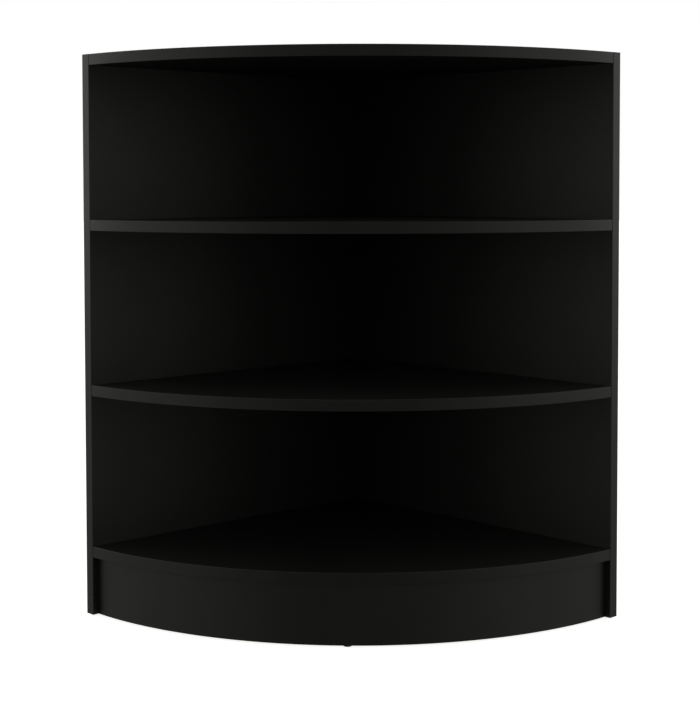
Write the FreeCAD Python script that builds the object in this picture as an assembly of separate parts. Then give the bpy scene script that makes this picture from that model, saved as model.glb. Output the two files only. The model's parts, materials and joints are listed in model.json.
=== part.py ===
import FreeCAD, Part
import math
import os

from FreeCAD import Vector

"""Quarter-round corner display unit: two upright panels that meet at the rear
corner, and a top, two shelves and a deck between them with curved fronts.

The unit is built in a corner frame: the outer rear corner is the origin, the
left panel runs along +X, the right panel along +Y, and +Z is up from the
panels' bottom edges. export() then turns it so that the curved front faces -Y
and the middle of the footprint is the origin. Millimetres throughout.
"""

# Driving dimensions of the carcass.
PANEL_LENGTH = 648.0          # outer rear corner to front edge, and the radius of the board fronts
PANEL_HEIGHT = 965.0
BOARD = 19.0                  # thickness of every board
BAND = 1.0                    # thickness of the edge band
BAND_ROUNDING = 0.8           # radius along the band's long outer edges
LOWER_SHELF_TOP = 399.0
UPPER_SHELF_TOP = 683.0

# Plinth.
KICK_HEIGHT = 100.0
KICK_RADIUS = 618.0           # outer face, about the inner rear corner
LAMINATE = 0.8
KERF_WIDTH = 3.0
KERF_WEB = 3.2                # board left between a kerf and the laminate
KERF_SPACING = 1.25           # degrees
KERF_FREE = 3.6               # degrees left whole at the kick's ends and either side of its middle
BLOCK_DEPTH = 36.0
BLOCK_WIDTH = 30.0
END_BLOCK_LIFT = 6.0          # the end blocks stay clear of the floor
CENTRE_BLOCK_WIDTH = 64.0
CENTRE_BLOCK_HEIGHT = 45.0

# Cam fittings, dowels and screws.
CAM_DIAMETER = 15.0
CAM_HEIGHT = 13.0
CAM_INSET = 24.0              # panel face to cam centre
CAM_STATIONS = (96.0, 530.0)  # from the outer rear corner, along each panel
CHANNEL_RADIUS = 3.6          # the way in for the bolt's head
DRIVE_RADIUS = 2.5
DRIVE_DEPTH = 2.5
COVER_DIAMETER = 17.0
COVER_HEIGHT = 0.8            # how far a cover stands proud of the board's underside
COVER_STUB = 2.0
BOLT_THREAD_RADIUS = 2.5
BOLT_THREAD_LENGTH = 11.0
BOLT_HOLE_RADIUS = 4.0
DOWEL_RADIUS = 4.0
DOWEL_LENGTH = 30.0
DOWEL_IN_PANEL = 12.0
DOWEL_STATIONS = (128.0, 341.0, 562.0)
DOWEL_CHAMFER = 1.0
CORNER_SCREW_HEIGHTS = (50.0, 250.0, 532.0, 815.0, 920.0)
CORNER_DOWEL_HEIGHTS = (155.0, 390.0, 675.0, 870.0)
CORNER_SCREW_LENGTH = 50.0
HEX_ACROSS_FLATS = 4.0
HEX_DEPTH = 3.0
CROSS_WIDTH = 0.9
CROSS_SPAN = 3.8
CROSS_DEPTH = 1.6

# Nail-on glides.
GLIDE_RADIUS = 8.0
GLIDE_HEIGHT = 3.0
GLIDE_STATIONS = (64.0, 588.0)
NAIL_RADIUS = 1.1
NAIL_LENGTH = 14.0

UP = Vector(0, 0, 1)
ALONG = Vector(1, 0, 0)
INWARD = Vector(0, 1, 0)      # from the left panel's outer face into the unit
INNER_CORNER = Vector(BOARD, BOARD, 0)
TOP_BOTTOM = PANEL_HEIGHT - BOARD

BOARD_BOTTOMS = {
    "top": TOP_BOTTOM,
    "upper_shelf": UPPER_SHELF_TOP - BOARD,
    "lower_shelf": LOWER_SHELF_TOP - BOARD,
    "deck": KICK_HEIGHT,
}


# Helpers.

def export(name, shape):
    """Turn the shape from the corner frame into the unit's own frame and write its STEP file."""
    placed = shape.copy()
    placed.rotate(Vector(0, 0, 0), UP, 225)
    placed.translate(Vector(0, PANEL_LENGTH / 2, GLIDE_HEIGHT))
    placed.exportStep(f"parts/{name}.step")


def mirrored(shape):
    """The same piece on the other panel: a mirror in the upright plane through the diagonal."""
    return shape.mirror(Vector(0, 0, 0), Vector(1, -1, 0))


def both_sides(shapes):
    return list(shapes) + [mirrored(shape) for shape in shapes]


def turned(profile, base, direction):
    """A turned piece: (radius, height) points revolved about an axis from base along direction."""
    points = [Vector(radius, 0, height) for radius, height in profile]
    wire = Part.makePolygon(points + [points[0]])
    solid = Part.Face(wire).revolve(Vector(0, 0, 0), UP, 360)
    solid.Placement = FreeCAD.Placement(base, FreeCAD.Rotation(UP, direction))
    return solid


def cylinder(radius, length, base, direction):
    return Part.makeCylinder(radius, length, base, direction)


def on_diagonal(distance, sideways, height):
    """A point that far from the inner rear corner along the diagonal, and off to one side."""
    ahead = distance / math.sqrt(2)
    across = sideways / math.sqrt(2)
    return INNER_CORNER + Vector(ahead + across, ahead - across, height)


# Boards.

def quarter_board(bottom):
    """A quarter disc about the outer rear corner, between the panels' inner faces."""
    radius = PANEL_LENGTH - BAND
    disc = Part.makeCylinder(radius, BOARD, Vector(0, 0, bottom), UP, 90)
    between = Part.makeBox(radius, radius, BOARD, INNER_CORNER + Vector(0, 0, bottom))
    return disc.common(between)


def left_panel():
    """Covers the right panel's rear edge, and has a band on its front, top and rear edges."""
    length = PANEL_LENGTH - 2 * BAND
    return Part.makeBox(length, BOARD, PANEL_HEIGHT - BAND, Vector(BAND, 0, 0))


def right_panel():
    """Butts against the left panel, and has a band on its front and top edges."""
    length = PANEL_LENGTH - BOARD - BAND
    return Part.makeBox(BOARD, length, PANEL_HEIGHT - BAND, Vector(0, BOARD, 0))


# Edge bands.

def band_section(start, outward, across, width):
    """The band's cross-section, a thin strip with its two outer corners rounded."""
    flat = BAND - BAND_ROUNDING
    bulge = flat + BAND_ROUNDING * math.sin(math.pi / 4)
    inset = BAND_ROUNDING * (1 - math.sin(math.pi / 4))

    def point(out, along):
        return start + outward * out + across * along

    edges = [
        Part.LineSegment(point(0, 0), point(flat, 0)),
        Part.Arc(point(flat, 0), point(bulge, inset), point(BAND, BAND_ROUNDING)),
        Part.LineSegment(point(BAND, BAND_ROUNDING), point(BAND, width - BAND_ROUNDING)),
        Part.Arc(
            point(BAND, width - BAND_ROUNDING),
            point(bulge, width - inset),
            point(flat, width),
        ),
        Part.LineSegment(point(flat, width), point(0, width)),
        Part.LineSegment(point(0, width), point(0, 0)),
    ]
    return Part.Face(Part.Wire([edge.toShape() for edge in edges]))


def board_front_band(bottom):
    section = band_section(Vector(PANEL_LENGTH - BAND, 0, bottom), ALONG, UP, BOARD)
    ring = section.revolve(Vector(0, 0, 0), UP, 90)
    between = Part.makeBox(PANEL_LENGTH, PANEL_LENGTH, BOARD, INNER_CORNER + Vector(0, 0, bottom))
    return ring.common(between)


def panel_front_band():
    section = band_section(Vector(PANEL_LENGTH - BAND, 0, 0), ALONG, INWARD, BOARD)
    return section.extrude(UP * PANEL_HEIGHT)


def panel_top_band(start):
    """Runs forward along the panel's top edge from start to the front band."""
    section = band_section(Vector(start, 0, PANEL_HEIGHT - BAND), UP, INWARD, BOARD)
    return section.extrude(ALONG * (PANEL_LENGTH - BAND - start))


def left_rear_band():
    section = band_section(Vector(BAND, 0, 0), ALONG * -1, INWARD, BOARD)
    return section.extrude(UP * PANEL_HEIGHT)


# Plinth.

def quarter_ring(inner, outer):
    """A quarter of a ring about the inner rear corner, as high as the plinth."""
    disc = Part.makeCylinder(outer, KICK_HEIGHT, INNER_CORNER, UP, 90)
    hollow = Part.makeCylinder(inner, KICK_HEIGHT, INNER_CORNER)
    return disc.cut(hollow)


def kerf_angles():
    """One every KERF_SPACING, but none where a block is screwed on or the glide is nailed in."""
    count = round(90 / KERF_SPACING)
    angles = [KERF_SPACING * (number + 0.5) for number in range(count)]
    return [
        angle for angle in angles
        if KERF_FREE < angle < 90 - KERF_FREE and abs(angle - 45) > KERF_FREE
    ]


def kerfs():
    """Upright saw cuts in the kick's back, which let the board bend."""
    inner = KICK_RADIUS - BOARD
    depth = BOARD - LAMINATE - KERF_WEB
    slot = Part.makeBox(depth + 1, KERF_WIDTH, KICK_HEIGHT, Vector(inner - 1, -KERF_WIDTH / 2, 0))
    slots = []
    for angle in kerf_angles():
        cut = slot.copy()
        cut.rotate(Vector(0, 0, 0), UP, angle)
        cut.translate(INNER_CORNER)
        slots.append(cut)
    return slots


def kick_board():
    return quarter_ring(KICK_RADIUS - BOARD, KICK_RADIUS - LAMINATE).cut(kerfs())


def end_block(bottom):
    """Fills the corner between the left panel and the kick's back."""
    back = KICK_RADIUS - BOARD
    size = Vector(BLOCK_DEPTH, BLOCK_WIDTH, KICK_HEIGHT - bottom)
    start = Vector(BOARD + back - BLOCK_DEPTH, BOARD, bottom)
    box = Part.makeBox(size.x, size.y, size.z, start)
    return box.common(Part.makeCylinder(back, KICK_HEIGHT, INNER_CORNER))


def centre_block(bottom):
    """Sits under the deck behind the middle of the kick, across the diagonal."""
    back = KICK_RADIUS - BOARD
    box = Part.makeBox(
        BLOCK_DEPTH,
        CENTRE_BLOCK_WIDTH,
        KICK_HEIGHT - bottom,
        Vector(back - BLOCK_DEPTH, -CENTRE_BLOCK_WIDTH / 2, bottom),
    )
    box = box.common(Part.makeCylinder(back, KICK_HEIGHT))
    box.rotate(Vector(0, 0, 0), UP, 45)
    box.translate(INNER_CORNER)
    return box


# Fasteners.

def cam_centre(x, bottom):
    return Vector(x, BOARD + CAM_INSET, bottom)


def cam_lock(x, bottom):
    """A cast cam in the board's underside, open towards the panel for the bolt's head."""
    radius = CAM_DIAMETER / 2
    centre = cam_centre(x, bottom)
    mouth = Vector(x, centre.y - radius, bottom + BOARD / 2)
    body = cylinder(radius, CAM_HEIGHT, centre, UP)
    drive = cylinder(DRIVE_RADIUS, DRIVE_DEPTH, centre, UP)
    channel = cylinder(CHANNEL_RADIUS, radius + 2, mouth, INWARD)
    return body.cut([drive, channel])


def cam_drilling(x, bottom):
    """The cam's hole in the underside and the bolt's hole in the board's straight edge."""
    cam_hole = cylinder(CAM_DIAMETER / 2, CAM_HEIGHT, cam_centre(x, bottom), UP)
    edge = Vector(x, BOARD, bottom + BOARD / 2)
    return cam_hole.fuse(cylinder(BOLT_HOLE_RADIUS, CAM_INSET, edge, INWARD))


def cam_cover(x, bottom):
    """A domed cap against the underside, with a stub in the cam's drive hole."""
    rim = COVER_DIAMETER / 2
    profile = [
        (0, -COVER_HEIGHT),
        (rim - 1.5, -COVER_HEIGHT),
        (rim - 0.5, -COVER_HEIGHT * 0.75),
        (rim, -COVER_HEIGHT * 0.3),
        (rim, 0),
        (DRIVE_RADIUS, 0),
        (DRIVE_RADIUS, COVER_STUB),
        (0, COVER_STUB),
    ]
    return turned(profile, cam_centre(x, bottom), UP)


def cam_bolt(x, bottom):
    """Screws into the panel; its head ends inside the cam."""
    thread = BOLT_THREAD_LENGTH
    profile = [
        (0, 0),
        (1.2, 0),
        (BOLT_THREAD_RADIUS, 2.0),
        (BOLT_THREAD_RADIUS, thread),
        (3.6, thread),
        (3.6, thread + 1.0),
        (3.0, thread + 1.5),
        (3.0, thread + CAM_INSET - 8.0),
        (1.9, thread + CAM_INSET - 7.0),
        (1.9, thread + CAM_INSET - 2.5),
        (3.3, thread + CAM_INSET - 1.5),
        (3.3, thread + CAM_INSET),
        (1.8, thread + CAM_INSET + 1.5),
        (0, thread + CAM_INSET + 1.5),
    ]
    return turned(profile, Vector(x, BOARD - thread, bottom + BOARD / 2), INWARD)


def bolt_drilling(x, bottom):
    base = Vector(x, BOARD - BOLT_THREAD_LENGTH, bottom + BOARD / 2)
    return cylinder(BOLT_THREAD_RADIUS, BOLT_THREAD_LENGTH, base, INWARD)


def dowel(base):
    """A wooden dowel that starts at base, inside the left panel, and points into the unit."""
    slim = DOWEL_RADIUS - DOWEL_CHAMFER
    profile = [
        (0, 0),
        (slim, 0),
        (DOWEL_RADIUS, DOWEL_CHAMFER),
        (DOWEL_RADIUS, DOWEL_LENGTH - DOWEL_CHAMFER),
        (slim, DOWEL_LENGTH),
        (0, DOWEL_LENGTH),
    ]
    return turned(profile, base, INWARD)


def dowel_drilling(base):
    return cylinder(DOWEL_RADIUS, DOWEL_LENGTH, base, INWARD)


def board_dowel_bases(bottom):
    return [Vector(x, BOARD - DOWEL_IN_PANEL, bottom + BOARD / 2) for x in DOWEL_STATIONS]


def corner_dowel_bases():
    return [Vector(BOARD / 2, BOARD - DOWEL_IN_PANEL, z) for z in CORNER_DOWEL_HEIGHTS]


def corner_screw_body(head, height):
    """A panel connector from its countersunk head at depth head to its blunt tip."""
    profile = [
        (0, head),
        (5.0, head),
        (5.0, 1.0),
        (3.5, 3.5),
        (3.5, BOARD),
        (2.9, BOARD + 0.6),
        (2.9, CORNER_SCREW_LENGTH - 4),
        (0.6, CORNER_SCREW_LENGTH),
        (0, CORNER_SCREW_LENGTH),
    ]
    return turned(profile, Vector(BOARD / 2, 0, height), INWARD)


def corner_screw(height):
    """Driven through the left panel into the right panel's rear edge, with a hexagon socket."""
    head = 0.3
    across_corners = HEX_ACROSS_FLATS / math.cos(math.pi / 6) / 2
    corners = [
        Vector(across_corners * math.cos(angle), 0, across_corners * math.sin(angle))
        for angle in (math.pi / 3 * number for number in range(7))
    ]
    socket = Part.Face(Part.makePolygon(corners)).extrude(INWARD * HEX_DEPTH)
    socket.translate(Vector(BOARD / 2, head, height))
    return corner_screw_body(head, height).cut(socket)


def corner_screw_drilling(height):
    return corner_screw_body(0, height)


def wood_screw_body(head, direction, length):
    profile = [
        (0, 0.2),
        (3.8, 0.2),
        (1.9, 2.6),
        (1.9, length - 5),
        (0.4, length),
        (0, length),
    ]
    return turned(profile, head, direction)


def wood_screw(head, direction, length):
    """A countersunk screw with a cross recess, its head flush at the point head."""
    centred = Vector(-CROSS_SPAN / 2, -CROSS_WIDTH / 2, 0.2)
    bar = Part.makeBox(CROSS_SPAN, CROSS_WIDTH, CROSS_DEPTH, centred)
    crossbar = bar.copy()
    crossbar.rotate(Vector(0, 0, 0), UP, 90)
    cross = bar.fuse(crossbar)
    cross.Placement = FreeCAD.Placement(head, FreeCAD.Rotation(UP, direction)).multiply(cross.Placement)
    return wood_screw_body(head, direction, length).cut(cross)


def end_block_screw_places():
    """Head, direction and length of two screws into the left panel and two into the kick."""
    rear = KICK_RADIUS - BLOCK_DEPTH
    to_panel = [
        (Vector(rear + BLOCK_DEPTH / 2, BOARD + BLOCK_WIDTH, z), INWARD * -1, BLOCK_WIDTH + 12)
        for z in (22.0, 82.0)
    ]
    to_kick = [
        (Vector(rear, BOARD + BLOCK_WIDTH / 2, z), ALONG, BLOCK_DEPTH + 12)
        for z in (37.0, 67.0)
    ]
    return to_panel + to_kick


def centre_block_screw_places():
    """Head, direction and length of two screws up into the deck and two into the kick."""
    back = KICK_RADIUS - BOARD
    bottom = KICK_HEIGHT - CENTRE_BLOCK_HEIGHT
    forward = Vector(1, 1, 0)
    forward.normalize()
    to_deck = [
        (on_diagonal(back - BLOCK_DEPTH / 2, side, bottom), UP, CENTRE_BLOCK_HEIGHT + 12)
        for side in (-22.0, 22.0)
    ]
    to_kick = [
        (on_diagonal(back - BLOCK_DEPTH, side, KICK_HEIGHT - 22), forward, BLOCK_DEPTH + 12)
        for side in (-10.0, 10.0)
    ]
    return to_deck + to_kick


# Glides.

def nail(spot):
    """The nail stands on a small head that the glide's plastic is moulded round."""
    profile = [
        (0, -1.6),
        (3.0, -1.6),
        (3.0, -0.8),
        (NAIL_RADIUS, -0.8),
        (NAIL_RADIUS, NAIL_LENGTH - 2),
        (0, NAIL_LENGTH),
    ]
    return turned(profile, spot, UP)


def glide(spot):
    """A domed plastic foot with a flat sole, under a board's edge at spot."""
    rim = 1.0
    sole = GLIDE_RADIUS - 3.0
    edges = [
        Part.LineSegment(Vector(0, 0, -GLIDE_HEIGHT), Vector(sole, 0, -GLIDE_HEIGHT)),
        Part.Arc(
            Vector(sole, 0, -GLIDE_HEIGHT),
            Vector(GLIDE_RADIUS - 0.9, 0, -GLIDE_HEIGHT + 0.7),
            Vector(GLIDE_RADIUS, 0, -rim),
        ),
        Part.LineSegment(Vector(GLIDE_RADIUS, 0, -rim), Vector(GLIDE_RADIUS, 0, 0)),
        Part.LineSegment(Vector(GLIDE_RADIUS, 0, 0), Vector(0, 0, 0)),
        Part.LineSegment(Vector(0, 0, 0), Vector(0, 0, -GLIDE_HEIGHT)),
    ]
    section = Part.Face(Part.Wire([edge.toShape() for edge in edges]))
    dome = section.revolve(Vector(0, 0, 0), UP, 360)
    dome.translate(spot)
    return dome.cut(nail(spot))


def panel_glide_spots():
    left = [Vector(x, BOARD / 2, 0) for x in GLIDE_STATIONS]
    return left + [Vector(spot.y, spot.x, 0) for spot in left]


def kick_glide_spot():
    return on_diagonal(KICK_RADIUS - BOARD / 2, 0, 0)


# The whole unit, node by node.

def make_board(name, bottom, extra_cuts):
    """Write one quarter-round board with its band, cams, covers, bolts and dowels."""
    cams = both_sides([cam_lock(x, bottom) for x in CAM_STATIONS])
    covers = both_sides([cam_cover(x, bottom) for x in CAM_STATIONS])
    bolts = both_sides([cam_bolt(x, bottom) for x in CAM_STATIONS])
    dowels = both_sides([dowel(base) for base in board_dowel_bases(bottom)])
    drillings = both_sides(
        [cam_drilling(x, bottom) for x in CAM_STATIONS]
        + [dowel_drilling(base) for base in board_dowel_bases(bottom)]
    )
    board_name = name if name.endswith("shelf") else f"{name}_board"
    export(board_name, quarter_board(bottom).cut(drillings + extra_cuts))
    export(f"{name}_front_band", board_front_band(bottom))
    export(f"{name}_cam_locks", Part.makeCompound(cams))
    export(f"{name}_cam_covers", Part.makeCompound(covers))
    export(f"{name}_cam_bolts", Part.makeCompound(bolts))
    export(f"{name}_dowels", Part.makeCompound(dowels))


def panel_drillings():
    """Holes in the left panel's inner face for every board's bolts and dowels."""
    holes = []
    for bottom in BOARD_BOTTOMS.values():
        holes += [bolt_drilling(x, bottom) for x in CAM_STATIONS]
        holes += [dowel_drilling(base) for base in board_dowel_bases(bottom)]
    return holes


def make_panels(block_drillings, nails):
    shared = panel_drillings()
    corner = [corner_screw_drilling(z) for z in CORNER_SCREW_HEIGHTS]
    corner += [dowel_drilling(base) for base in corner_dowel_bases()]
    left = left_panel().cut(shared + corner + block_drillings + nails)
    right = right_panel().cut([mirrored(hole) for hole in shared + block_drillings] + corner + nails)
    export("left_side_panel", left)
    export("right_side_panel", right)
    export("left_panel_front_band", panel_front_band())
    export("right_panel_front_band", mirrored(panel_front_band()))
    export("left_panel_top_band", panel_top_band(BAND))
    export("right_panel_top_band", mirrored(panel_top_band(BOARD)))
    export("left_panel_rear_band", left_rear_band())
    export("rear_corner_screws", Part.makeCompound([corner_screw(z) for z in CORNER_SCREW_HEIGHTS]))
    export("rear_corner_dowels", Part.makeCompound([dowel(base) for base in corner_dowel_bases()]))


def make_plinth(end_drillings, centre_drillings, nails):
    block = end_block(END_BLOCK_LIFT).cut(end_drillings)
    middle = centre_block(KICK_HEIGHT - CENTRE_BLOCK_HEIGHT).cut(centre_drillings)
    end_screws = [wood_screw(*place) for place in end_block_screw_places()]
    centre_screws = [wood_screw(*place) for place in centre_block_screw_places()]
    drillings = both_sides(end_drillings) + centre_drillings
    export("kick_board", kick_board().cut(drillings + nails))
    export("kick_laminate", quarter_ring(KICK_RADIUS - LAMINATE, KICK_RADIUS))
    export("left_kick_block", block)
    export("right_kick_block", mirrored(block))
    export("centre_kick_block", middle)
    export("kick_block_screws", Part.makeCompound(both_sides(end_screws) + centre_screws))


def make_glides(spots, nails):
    export("panel_glides", Part.makeCompound([glide(spot) for spot in spots[:-1]]))
    export("kick_glide", glide(spots[-1]))
    export("glide_nails", Part.makeCompound(nails))


def main():
    os.makedirs("parts", exist_ok=True)
    end_drillings = [wood_screw_body(*place) for place in end_block_screw_places()]
    centre_drillings = [wood_screw_body(*place) for place in centre_block_screw_places()]
    spots = panel_glide_spots() + [kick_glide_spot()]
    nails = [nail(spot) for spot in spots]
    for name, bottom in BOARD_BOTTOMS.items():
        make_board(name, bottom, centre_drillings if name == "deck" else [])
    make_panels(end_drillings, nails)
    make_plinth(end_drillings, centre_drillings, nails)
    make_glides(spots, nails)


main()
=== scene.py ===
import json
import math

import bpy
from mathutils import Matrix, Vector


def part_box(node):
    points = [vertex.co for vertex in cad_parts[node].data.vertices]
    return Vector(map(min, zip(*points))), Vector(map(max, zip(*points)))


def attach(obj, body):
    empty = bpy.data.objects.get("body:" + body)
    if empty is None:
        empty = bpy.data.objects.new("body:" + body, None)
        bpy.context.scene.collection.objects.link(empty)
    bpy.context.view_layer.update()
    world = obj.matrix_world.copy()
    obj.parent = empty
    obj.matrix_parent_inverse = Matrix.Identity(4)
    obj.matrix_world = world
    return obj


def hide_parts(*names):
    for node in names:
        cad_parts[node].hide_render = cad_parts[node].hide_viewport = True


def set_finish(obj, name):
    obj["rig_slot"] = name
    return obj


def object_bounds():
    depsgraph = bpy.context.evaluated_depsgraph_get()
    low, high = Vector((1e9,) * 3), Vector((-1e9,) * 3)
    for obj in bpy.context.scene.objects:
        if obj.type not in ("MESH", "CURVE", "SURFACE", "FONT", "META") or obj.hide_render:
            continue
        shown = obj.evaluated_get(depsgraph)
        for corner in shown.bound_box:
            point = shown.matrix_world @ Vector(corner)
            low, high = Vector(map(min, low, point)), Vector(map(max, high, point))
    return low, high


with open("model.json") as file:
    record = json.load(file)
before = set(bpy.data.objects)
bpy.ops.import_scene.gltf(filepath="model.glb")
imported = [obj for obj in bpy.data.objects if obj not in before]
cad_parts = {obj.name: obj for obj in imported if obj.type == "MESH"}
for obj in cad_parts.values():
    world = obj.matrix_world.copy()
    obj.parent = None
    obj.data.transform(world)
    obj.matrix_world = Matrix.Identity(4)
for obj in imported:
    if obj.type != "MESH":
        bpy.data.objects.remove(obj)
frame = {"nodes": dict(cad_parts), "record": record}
CAD_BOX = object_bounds()

# Sizes read from the frame, in metres. The rear outer corner is the centre of the boards' curved
# fronts, and the inner rear corner is the centre of the kick's.
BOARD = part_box("top_board")[1].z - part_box("top_board")[0].z
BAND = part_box("left_panel_top_band")[1].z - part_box("left_panel_top_band")[0].z
RADIUS = -2 * CAD_BOX[0].y
REAR_CORNER = Vector((0, RADIUS / 2, 0))
INNER_CORNER = REAR_CORNER - Vector((0, BOARD * math.sqrt(2), 0))
KICK_RADIUS = INNER_CORNER.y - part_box("kick_laminate")[0].y
PANEL_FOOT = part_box("left_side_panel")[0].z
LAMINATE = 0.0008
BAND_ROUNDING = 0.0008
EDGE_ROUNDING = 0.0003
SEAM = 0.0006                 # hairline gap between a shelf's edge band and the panel beside it
ARC_STEPS = 240

BOARD_NODES = {
    "top": "top_board",
    "upper_shelf": "upper_shelf",
    "lower_shelf": "lower_shelf",
    "deck": "deck_board",
}


# Meshes.

def from_corner(x, y, z=0.0):
    """Metres along the left panel, along the right panel and up, as a point in the row's frame."""
    return Vector(((y - x) / math.sqrt(2), REAR_CORNER.y - (x + y) / math.sqrt(2), z))


def new_piece(name, vertices, faces, slot, node):
    """A mesh piece that stands for a CAD node and takes its finish from that slot."""
    mesh = bpy.data.meshes.new(name)
    mesh.from_pydata(vertices, [], faces)
    mesh.shade_smooth()
    mesh.set_sharp_from_angle(angle=math.radians(40))
    piece = bpy.data.objects.new(name, mesh)
    bpy.context.scene.collection.objects.link(piece)
    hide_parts(node)
    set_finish(piece, slot)
    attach(piece, "root")
    return piece


def even_normals(piece):
    """Flat faces shade flat beside their rounded edges."""
    weighted = piece.modifiers.new("even_normals", "WEIGHTED_NORMAL")
    weighted.keep_sharp = True


def round_edges(piece, width):
    bevel = piece.modifiers.new("rounding", "BEVEL")
    bevel.width = width
    bevel.segments = 3
    bevel.limit_method = "ANGLE"
    bevel.angle_limit = math.radians(40)
    even_normals(piece)


def arc_between_panels(radius, gap=0.0):
    """Corner-frame points of an arc about the outer rear corner, from the left panel to the right."""
    start = math.asin((BOARD + gap) / radius)
    span = math.pi / 2 - 2 * start
    angles = [start + span * step / ARC_STEPS for step in range(ARC_STEPS + 1)]
    return [(radius * math.cos(angle), radius * math.sin(angle)) for angle in angles]


def make_board(name):
    """A quarter-round board with lightly rounded edges, which show where it meets the panels."""
    node = BOARD_NODES[name]
    low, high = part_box(node)
    outline = [(BOARD, BOARD)] + arc_between_panels(RADIUS - BAND)
    count = len(outline)
    vertices = [from_corner(x, y, z) for z in (low.z, high.z) for x, y in outline]
    faces = [tuple(range(count - 1, -1, -1)), tuple(range(count, 2 * count))]
    for index in range(count):
        after = (index + 1) % count
        faces.append((index, after, count + after, count + index))
    piece = new_piece(f"{name}_finished", vertices, faces, "black_melamine", node)
    round_edges(piece, EDGE_ROUNDING)
    return piece


def rounded_profile(depth, height, rounding, steps=6):
    """A strip's section as (outward, up) points, its two outer corners rounded."""
    profile = [(0, 0)]
    for corner, first in ((rounding, -90), (height - rounding, 0)):
        for step in range(steps + 1):
            angle = math.radians(first + 90 * step / steps)
            out = depth - rounding + rounding * math.cos(angle)
            profile.append((out, corner + rounding * math.sin(angle)))
    profile.append((0, height))
    return profile


def swept_piece(name, rings, slot, node):
    """A closed solid from a list of rings, each with the same number of points."""
    size = len(rings[0])
    vertices = [point for ring in rings for point in ring]
    last = len(vertices) - size
    faces = [tuple(range(size)), tuple(range(last + size - 1, last - 1, -1))]
    for start in range(0, last, size):
        for index in range(size):
            after = (index + 1) % size
            faces.append((start + index, start + size + index, start + size + after, start + after))
    piece = new_piece(name, vertices, faces, slot, node)
    even_normals(piece)
    return piece


def make_board_band(name):
    """The curved edge band, swept from one panel to the other with a hairline seam at each end."""
    node = f"{name}_front_band"
    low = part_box(node)[0].z
    lines = []
    for out, up in rounded_profile(BAND, BOARD, BAND_ROUNDING):
        arc = arc_between_panels(RADIUS - BAND + out, SEAM)
        lines.append([from_corner(x, y, low + up) for x, y in arc])
    return swept_piece(f"{name}_edge_band", list(zip(*lines)), "black_edge_band", node)


def make_kick_face():
    """The kick's laminate, a quarter of a ring about the inner rear corner."""
    low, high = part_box("kick_laminate")
    rings = []
    for step in range(ARC_STEPS + 1):
        angle = math.pi / 2 * step / ARC_STEPS
        ring = []
        for out, up in rounded_profile(LAMINATE, high.z - low.z, LAMINATE / 4, 3):
            radius = KICK_RADIUS - LAMINATE + out
            x = BOARD + radius * math.cos(angle)
            y = BOARD + radius * math.sin(angle)
            ring.append(from_corner(x, y, low.z + up))
        rings.append(ring)
    return swept_piece("kick_face", rings, "black_laminate", "kick_laminate")


# Material nodes.

def add(tree, kind, settings=None, **inputs):
    """A node with its settings and inputs; an input is a value or another node's output."""
    made = tree.nodes.new(kind)
    for key, value in (settings or {}).items():
        setattr(made, key, value)
    for key, value in inputs.items():
        connect(tree, value, made.inputs[key.replace("_", " ")])
    return made


def connect(tree, value, socket):
    if isinstance(value, bpy.types.NodeSocket):
        tree.links.new(value, socket)
    else:
        socket.default_value = value


def calc(tree, operation, *values):
    """A Math node's output."""
    made = tree.nodes.new("ShaderNodeMath")
    made.operation = operation
    for socket, value in zip(made.inputs, values):
        connect(tree, value, socket)
    return made.outputs[0]


def vector_calc(tree, operation, *values):
    """A Vector Math node's output: the number for a dot product, else the vector."""
    made = tree.nodes.new("ShaderNodeVectorMath")
    made.operation = operation
    for socket, value in zip(made.inputs, values):
        connect(tree, value, socket)
    return made.outputs["Value" if operation == "DOT_PRODUCT" else "Vector"]


def remap(tree, value, from_low, from_high, to_low, to_high):
    """A smooth ramp between two levels, held at both ends."""
    made = add(tree, "ShaderNodeMapRange", {"interpolation_type": "SMOOTHSTEP"}, Value=value,
               From_Min=from_low, From_Max=from_high, To_Min=to_low, To_Max=to_high)
    return made.outputs["Result"]


def blend_colors(tree, factor, first, second):
    made = tree.nodes.new("ShaderNodeMix")
    made.data_type = "RGBA"
    for socket, value in zip((made.inputs[0], made.inputs[6], made.inputs[7]),
                             (factor, first, second)):
        connect(tree, value, socket)
    return made.outputs[2]


def place(tree):
    """The point in the row's frame, in metres."""
    return add(tree, "ShaderNodeTexCoord").outputs["Object"]


def normal(tree):
    return add(tree, "ShaderNodeNewGeometry").outputs["Normal"]


def part_of(tree, vector, axis):
    return add(tree, "ShaderNodeSeparateXYZ", Vector=vector).outputs[axis]


def stretched(tree, vector, *scale):
    return vector_calc(tree, "MULTIPLY", vector, scale)


def noise(tree, vector, scale, detail=3.0, roughness=0.5):
    return add(tree, "ShaderNodeTexNoise", Vector=vector, Scale=scale, Detail=detail,
               Roughness=roughness).outputs["Fac"]


def cells(tree, vector, scale, output="Distance"):
    return add(tree, "ShaderNodeTexVoronoi", Vector=vector, Scale=scale).outputs[output]


def bump(tree, height, depth, strength=1.0):
    return add(tree, "ShaderNodeBump", Height=height, Distance=depth,
               Strength=strength).outputs["Normal"]


def grey(level, warmth=0.0):
    return (level * (1 + warmth), level, level * (1 - warmth), 1)


def material(name, **fixed):
    """A material, its node tree and its shader, with the shader's fixed values set on it."""
    made = bpy.data.materials.new(name)
    made.use_nodes = True
    shader = made.node_tree.nodes["Principled BSDF"]
    for key, value in fixed.items():
        shader.inputs[key.replace("_", " ")].default_value = value
    return made, made.node_tree, shader


def drive(tree, shader, color=None, roughness=None, bumps=None):
    """Connects the shader's varying inputs."""
    for value, key in ((color, "Base Color"), (roughness, "Roughness"), (bumps, "Normal")):
        if value is not None:
            connect(tree, value, shader.inputs[key])


# Finishes.

BLACK = grey(0.0080, 0.02)
BLACK_PALE = grey(0.0100, 0.03)


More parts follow.
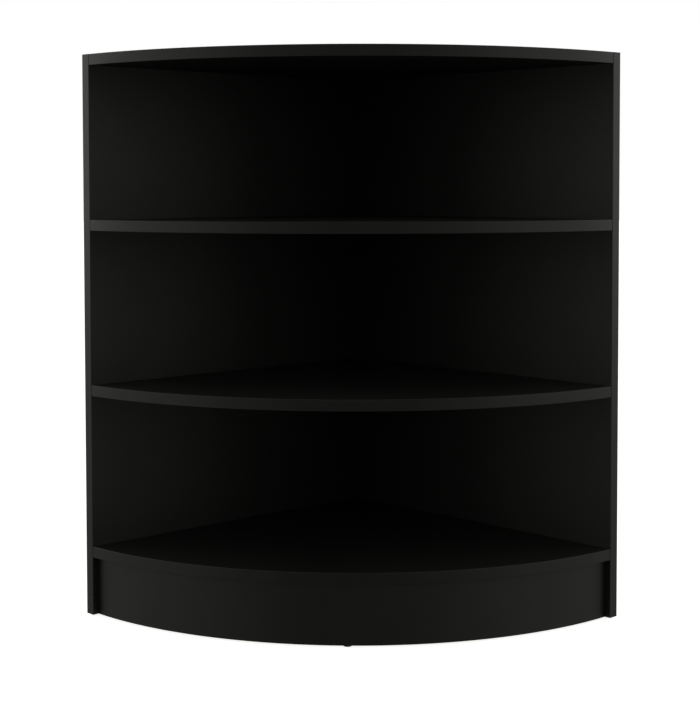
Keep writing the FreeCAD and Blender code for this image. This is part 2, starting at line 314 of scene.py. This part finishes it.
def raw_board_color(tree, point):
    """Pressed wood chips, in several browns."""
    chips = cells(tree, stretched(tree, point, 1, 1, 1.8), 420, "Color")
    tone = part_of(tree, chips, "X")
    fine = noise(tree, point, 1500, 2)
    pale = blend_colors(tree, tone, (0.30, 0.19, 0.10, 1), (0.52, 0.37, 0.21, 1))
    return blend_colors(tree, remap(tree, fine, 0.35, 0.7, 0, 0.6), pale, (0.17, 0.10, 0.05, 1))


def melamine():
    """Black resin-faced board: a fine pearl grain, a little dust and raw chipboard at the foot."""
    made, tree, shader = material("black_melamine", IOR=1.5)
    point = place(tree)
    up = part_of(tree, normal(tree), "Z")
    cloud = noise(tree, point, 5, 2, 0.5)
    grain = noise(tree, point, 1300, 3, 0.6)
    pearl = cells(tree, point, 800)
    black = blend_colors(tree, remap(tree, cloud, 0.3, 0.7, 0, 1), BLACK, BLACK_PALE)
    dust = calc(tree, "MULTIPLY", remap(tree, up, 0.9, 0.99, 0, 1),
                remap(tree, noise(tree, point, 90, 6, 0.7), 0.52, 0.8, 0, 0.12))
    dusty = blend_colors(tree, dust, black, grey(0.06, 0.06))
    foot = calc(tree, "MULTIPLY", remap(tree, up, -0.9, -0.99, 0, 1),
                calc(tree, "LESS_THAN", part_of(tree, point, "Z"), PANEL_FOOT + 0.0005))
    color = blend_colors(tree, foot, dusty, raw_board_color(tree, point))
    sheen = remap(tree, cloud, 0.25, 0.75, 0.435, 0.465)
    roughness = calc(tree, "ADD", sheen, calc(tree, "MULTIPLY", foot, 0.4))
    height = calc(tree, "ADD", grain, calc(tree, "MULTIPLY", pearl, 0.7))
    drive(tree, shader, color, roughness, bump(tree, height, 0.00003, 0.6))
    return made


def edge_band():
    """Black edge band: fine lines along its length, and paler where its edges were trimmed."""
    made, tree, shader = material("black_edge_band", IOR=1.5)
    point = place(tree)
    from_rear = vector_calc(tree, "SUBTRACT", point, tuple(REAR_CORNER))
    flat = stretched(tree, from_rear, 1, 1, 0)
    outward = vector_calc(tree, "NORMALIZE", flat)
    facing = vector_calc(tree, "DOT_PRODUCT", normal(tree), outward)
    trimmed = remap(tree, facing, 0.98, 0.80, 0, 1)
    lines = noise(tree, stretched(tree, point, 60, 60, 2600), 1, 3, 0.6)
    cloud = noise(tree, point, 16, 4, 0.6)
    chatter = noise(tree, point, 520, 3)
    black = blend_colors(tree, remap(tree, cloud, 0.3, 0.7, 0, 1), BLACK, BLACK_PALE)
    worn = calc(tree, "MULTIPLY", trimmed, remap(tree, chatter, 0.35, 0.7, 0.1, 0.5))
    color = blend_colors(tree, worn, black, grey(0.022, 0.02))
    roughness = calc(tree, "ADD", remap(tree, cloud, 0.25, 0.75, 0.37, 0.41),
                     remap(tree, lines, 0.3, 0.7, -0.02, 0.03))
    height = calc(tree, "ADD", lines, calc(tree, "MULTIPLY", chatter, 0.4))
    drive(tree, shader, color, roughness, bump(tree, height, 0.00002, 0.5))
    return made


def laminate():
    """The kick's sheet: like the boards, with faint scuffs near the floor."""
    made, tree, shader = material("black_laminate", IOR=1.5)
    point = place(tree)
    height = part_of(tree, point, "Z")
    cloud = noise(tree, point, 5, 2, 0.5)
    grain = noise(tree, point, 1300, 3, 0.6)
    pearl = cells(tree, point, 800)
    black = blend_colors(tree, remap(tree, cloud, 0.3, 0.7, 0, 1), BLACK, BLACK_PALE)
    streaks = noise(tree, stretched(tree, point, 14, 14, 260), 1, 5, 0.65)
    low = remap(tree, height, 0.055, 0.005, 0, 1)
    scuffs = calc(tree, "MULTIPLY", low, remap(tree, streaks, 0.58, 0.75, 0, 0.3))
    color = blend_colors(tree, scuffs, black, grey(0.05, 0.05))
    roughness = calc(tree, "ADD", remap(tree, cloud, 0.25, 0.75, 0.435, 0.465),
                     calc(tree, "MULTIPLY", scuffs, 0.3))
    relief = calc(tree, "ADD", grain, calc(tree, "MULTIPLY", pearl, 0.7))
    drive(tree, shader, color, roughness, bump(tree, relief, 0.00003, 0.6))
    return made


def kerfed_board():
    """Raw chipboard, sawn."""
    made, tree, shader = material("kerfed_board", Roughness=0.85)
    point = place(tree)
    saw = noise(tree, stretched(tree, point, 900, 900, 40), 1, 3)
    drive(tree, shader, raw_board_color(tree, point), remap(tree, saw, 0.3, 0.7, 0.75, 0.95),
          bump(tree, saw, 0.0003, 0.7))
    return made


def timber(name, pale, dark, grain_scale, ring_scale):
    """Wood with its grain upright: growth rings and fine pores."""
    made, tree, shader = material(name, Roughness=0.6)
    point = place(tree)
    bent = vector_calc(tree, "ADD", stretched(tree, point, 1, 1, 0.06),
                       stretched(tree, add(tree, "ShaderNodeTexNoise", Vector=point, Scale=14,
                                           Detail=3).outputs["Color"], 0.02, 0.02, 0))
    rings = add(tree, "ShaderNodeTexWave", {"wave_type": "RINGS", "rings_direction": "Z"},
                Vector=bent, Scale=ring_scale, Distortion=1.5, Detail=3).outputs["Fac"]
    pores = noise(tree, stretched(tree, point, 1, 1, 0.05), grain_scale, 4, 0.65)
    mixed = calc(tree, "MULTIPLY_ADD", rings, 0.6, calc(tree, "MULTIPLY", pores, 0.5))
    color = blend_colors(tree, remap(tree, mixed, 0.2, 0.9, 0, 1), pale, dark)
    drive(tree, shader, color, remap(tree, pores, 0.3, 0.7, 0.5, 0.75),
          bump(tree, pores, 0.0002, 0.5))
    return made


def bare_metal(name, color, dull, rough_low, rough_high, turning):
    """Metal with cast or turned texture; turning is how tightly its lines run along Z."""
    made, tree, shader = material(name, Metallic=1.0)
    point = place(tree)
    lines = noise(tree, stretched(tree, point, 500, 500, turning), 1, 4)
    stain = noise(tree, point, 180, 5, 0.65)
    drive(tree, shader, blend_colors(tree, remap(tree, stain, 0.45, 0.8, 0, 0.7), color, dull),
          remap(tree, lines, 0.3, 0.7, rough_low, rough_high), bump(tree, lines, 0.00003, 0.5))
    return made


def dark_plastic(name, level, worn, rough_low, rough_high):
    """Moulded black plastic with a spark-etched grain, paler where it's rubbed."""
    made, tree, shader = material(name, IOR=1.5)
    point = place(tree)
    etched = noise(tree, point, 2200, 3, 0.6)
    rubbed = noise(tree, point, 140, 5, 0.7)
    color = blend_colors(tree, remap(tree, rubbed, 0.55, 0.8, 0, 0.8), grey(level), grey(worn))
    drive(tree, shader, color, remap(tree, rubbed, 0.3, 0.7, rough_low, rough_high),
          bump(tree, etched, 0.00004, 0.6))
    return made


def make_finishes():
    """One material for each of the record's slots."""
    return {
        "black_melamine": melamine(),
        "black_edge_band": edge_band(),
        "black_laminate": laminate(),
        "kerfed_board": kerfed_board(),
        "softwood_block": timber("softwood_block", (0.62, 0.44, 0.25, 1), (0.42, 0.26, 0.12, 1),
                                 700, 45),
        "beech_dowel": timber("beech_dowel", (0.60, 0.41, 0.25, 1), (0.43, 0.27, 0.15, 1),
                              1800, 160),
        "cast_zinc": bare_metal("cast_zinc", grey(0.50), grey(0.30), 0.40, 0.60, 500),
        "zinc_steel": bare_metal("zinc_steel", grey(0.62), grey(0.40), 0.22, 0.38, 4000),
        "blackened_steel": bare_metal("blackened_steel", grey(0.05), grey(0.02), 0.35, 0.55, 3000),
        "black_cap": dark_plastic("black_cap", 0.012, 0.030, 0.45, 0.60),
        "black_nylon": dark_plastic("black_nylon", 0.015, 0.060, 0.40, 0.55),
    }


def paint(pieces):
    """Gives each CAD node and each new piece the material of its slot."""
    finishes = make_finishes()
    for subpart in frame["record"]["subparts"]:
        for slot in frame["nodes"][subpart["node"]].material_slots:
            slot.material = finishes[subpart["material_slot"]]
    for piece in pieces:
        piece.data.materials.append(finishes[piece["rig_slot"]])


# The studio, in metres. Light levels are fractions of the white background.

CAMERA_PLACE = (0.0757, -2.8283, 0.7446)
CAMERA_LENS = 80.97
CAMERA_SHIFT = -0.13
CAMERA_PAN = 0.02822          # radians to the left
CAMERA_TILT = 0.04708         # radians down
CAMERA_ROLL = -0.00138
FLOOR_GLOW = 0.84
ROOM_TINT = (1.0, 0.995, 0.94, 1)
ROOM_SIDES = 0.66
ROOM_FRONT = 0.15
ROOM_OVERHEAD = 0.6           # of the level at the horizon
ROOM_BELOW = 0.37             # of the level at the horizon
SOFTBOX_SIZE = 1.6
SOFTBOX_DISTANCE = 2.6
SOFTBOX_HEIGHT = 1.2


def make_floor():
    """A pale floor, seen by the camera and left out of the unit's reflections."""
    mesh = bpy.data.meshes.new("studio_floor")
    half = 30.0
    corners = [(-half, -half, 0), (half, -half, 0), (half, half, 0), (-half, half, 0)]
    mesh.from_pydata(corners, [], [(0, 1, 2, 3)])
    floor = bpy.data.objects.new("studio_floor", mesh)
    bpy.context.scene.collection.objects.link(floor)
    made, tree, shader = material("studio_floor", Roughness=0.9)
    grain = noise(tree, place(tree), 30, 3)
    drive(tree, shader, blend_colors(tree, grain, grey(0.80), grey(0.83)))
    shader.inputs["Emission Color"].default_value = grey(1.0)
    shader.inputs["Emission Strength"].default_value = FLOOR_GLOW
    made.cycles.emission_sampling = "NONE"
    floor.data.materials.append(made)
    floor.visible_diffuse = False
    floor.visible_glossy = False


def softbox(name, azimuth, watts):
    """A large soft light that faces the unit's middle; azimuth 0 is in front and 90 to the right."""
    light = bpy.data.lights.new(name, "AREA")
    light.size = SOFTBOX_SIZE
    light.energy = watts
    lamp = bpy.data.objects.new(name, light)
    turn = math.radians(azimuth)
    away = Vector((math.sin(turn), -math.cos(turn), 0)) * SOFTBOX_DISTANCE
    lamp.location = away + Vector((0, 0, SOFTBOX_HEIGHT))
    aim = Vector((0, 0, 0.5)) - lamp.location
    lamp.rotation_euler = aim.to_track_quat("-Z", "Y").to_euler()
    lamp.visible_camera = False
    bpy.context.scene.collection.objects.link(lamp)


def make_world():
    """White to the camera; as light, a pale room, dark in front and dimmer overhead and below."""
    world = bpy.data.worlds.new("studio_world")
    bpy.context.scene.world = world
    world.use_nodes = True
    tree = world.node_tree
    toward = add(tree, "ShaderNodeTexCoord").outputs["Generated"]
    up = part_of(tree, toward, "Z")
    room = remap(tree, part_of(tree, toward, "Y"), -1.0, -0.45, ROOM_FRONT, ROOM_SIDES)
    overhead = remap(tree, up, 0.1, 0.9, 1.0, ROOM_OVERHEAD)
    underfoot = remap(tree, up, -0.2, 0.05, ROOM_BELOW, 1.0)
    light = calc(tree, "MULTIPLY", room, calc(tree, "MULTIPLY", overhead, underfoot))
    seen = add(tree, "ShaderNodeLightPath").outputs["Is Camera Ray"]
    background = tree.nodes["Background"]
    connect(tree, blend_colors(tree, seen, ROOM_TINT, grey(1.0)), background.inputs["Color"])
    connect(tree, calc(tree, "MAXIMUM", light, seen), background.inputs["Strength"])


def make_camera():
    data = bpy.data.cameras.new("camera")
    data.sensor_width = 36.0
    data.lens = CAMERA_LENS
    data.shift_y = CAMERA_SHIFT
    camera = bpy.data.objects.new("camera", data)
    bpy.context.scene.collection.objects.link(camera)
    camera.location = CAMERA_PLACE
    turn = Matrix.Rotation(CAMERA_PAN, 4, "Z") @ Matrix.Rotation(math.pi / 2 - CAMERA_TILT, 4, "X")
    camera.rotation_euler = (turn @ Matrix.Rotation(CAMERA_ROLL, 4, "Z")).to_euler()
    bpy.context.scene.camera = camera


def main():
    pieces = [make_board(name) for name in BOARD_NODES]
    pieces += [make_board_band(name) for name in BOARD_NODES]
    pieces.append(make_kick_face())
    paint(pieces)
    make_floor()
    make_world()
    make_camera()
    softbox("left_softbox", -100, 3)
    softbox("right_softbox", 100, 2.5)
    bpy.context.scene.view_settings.view_transform = "Standard"


main()
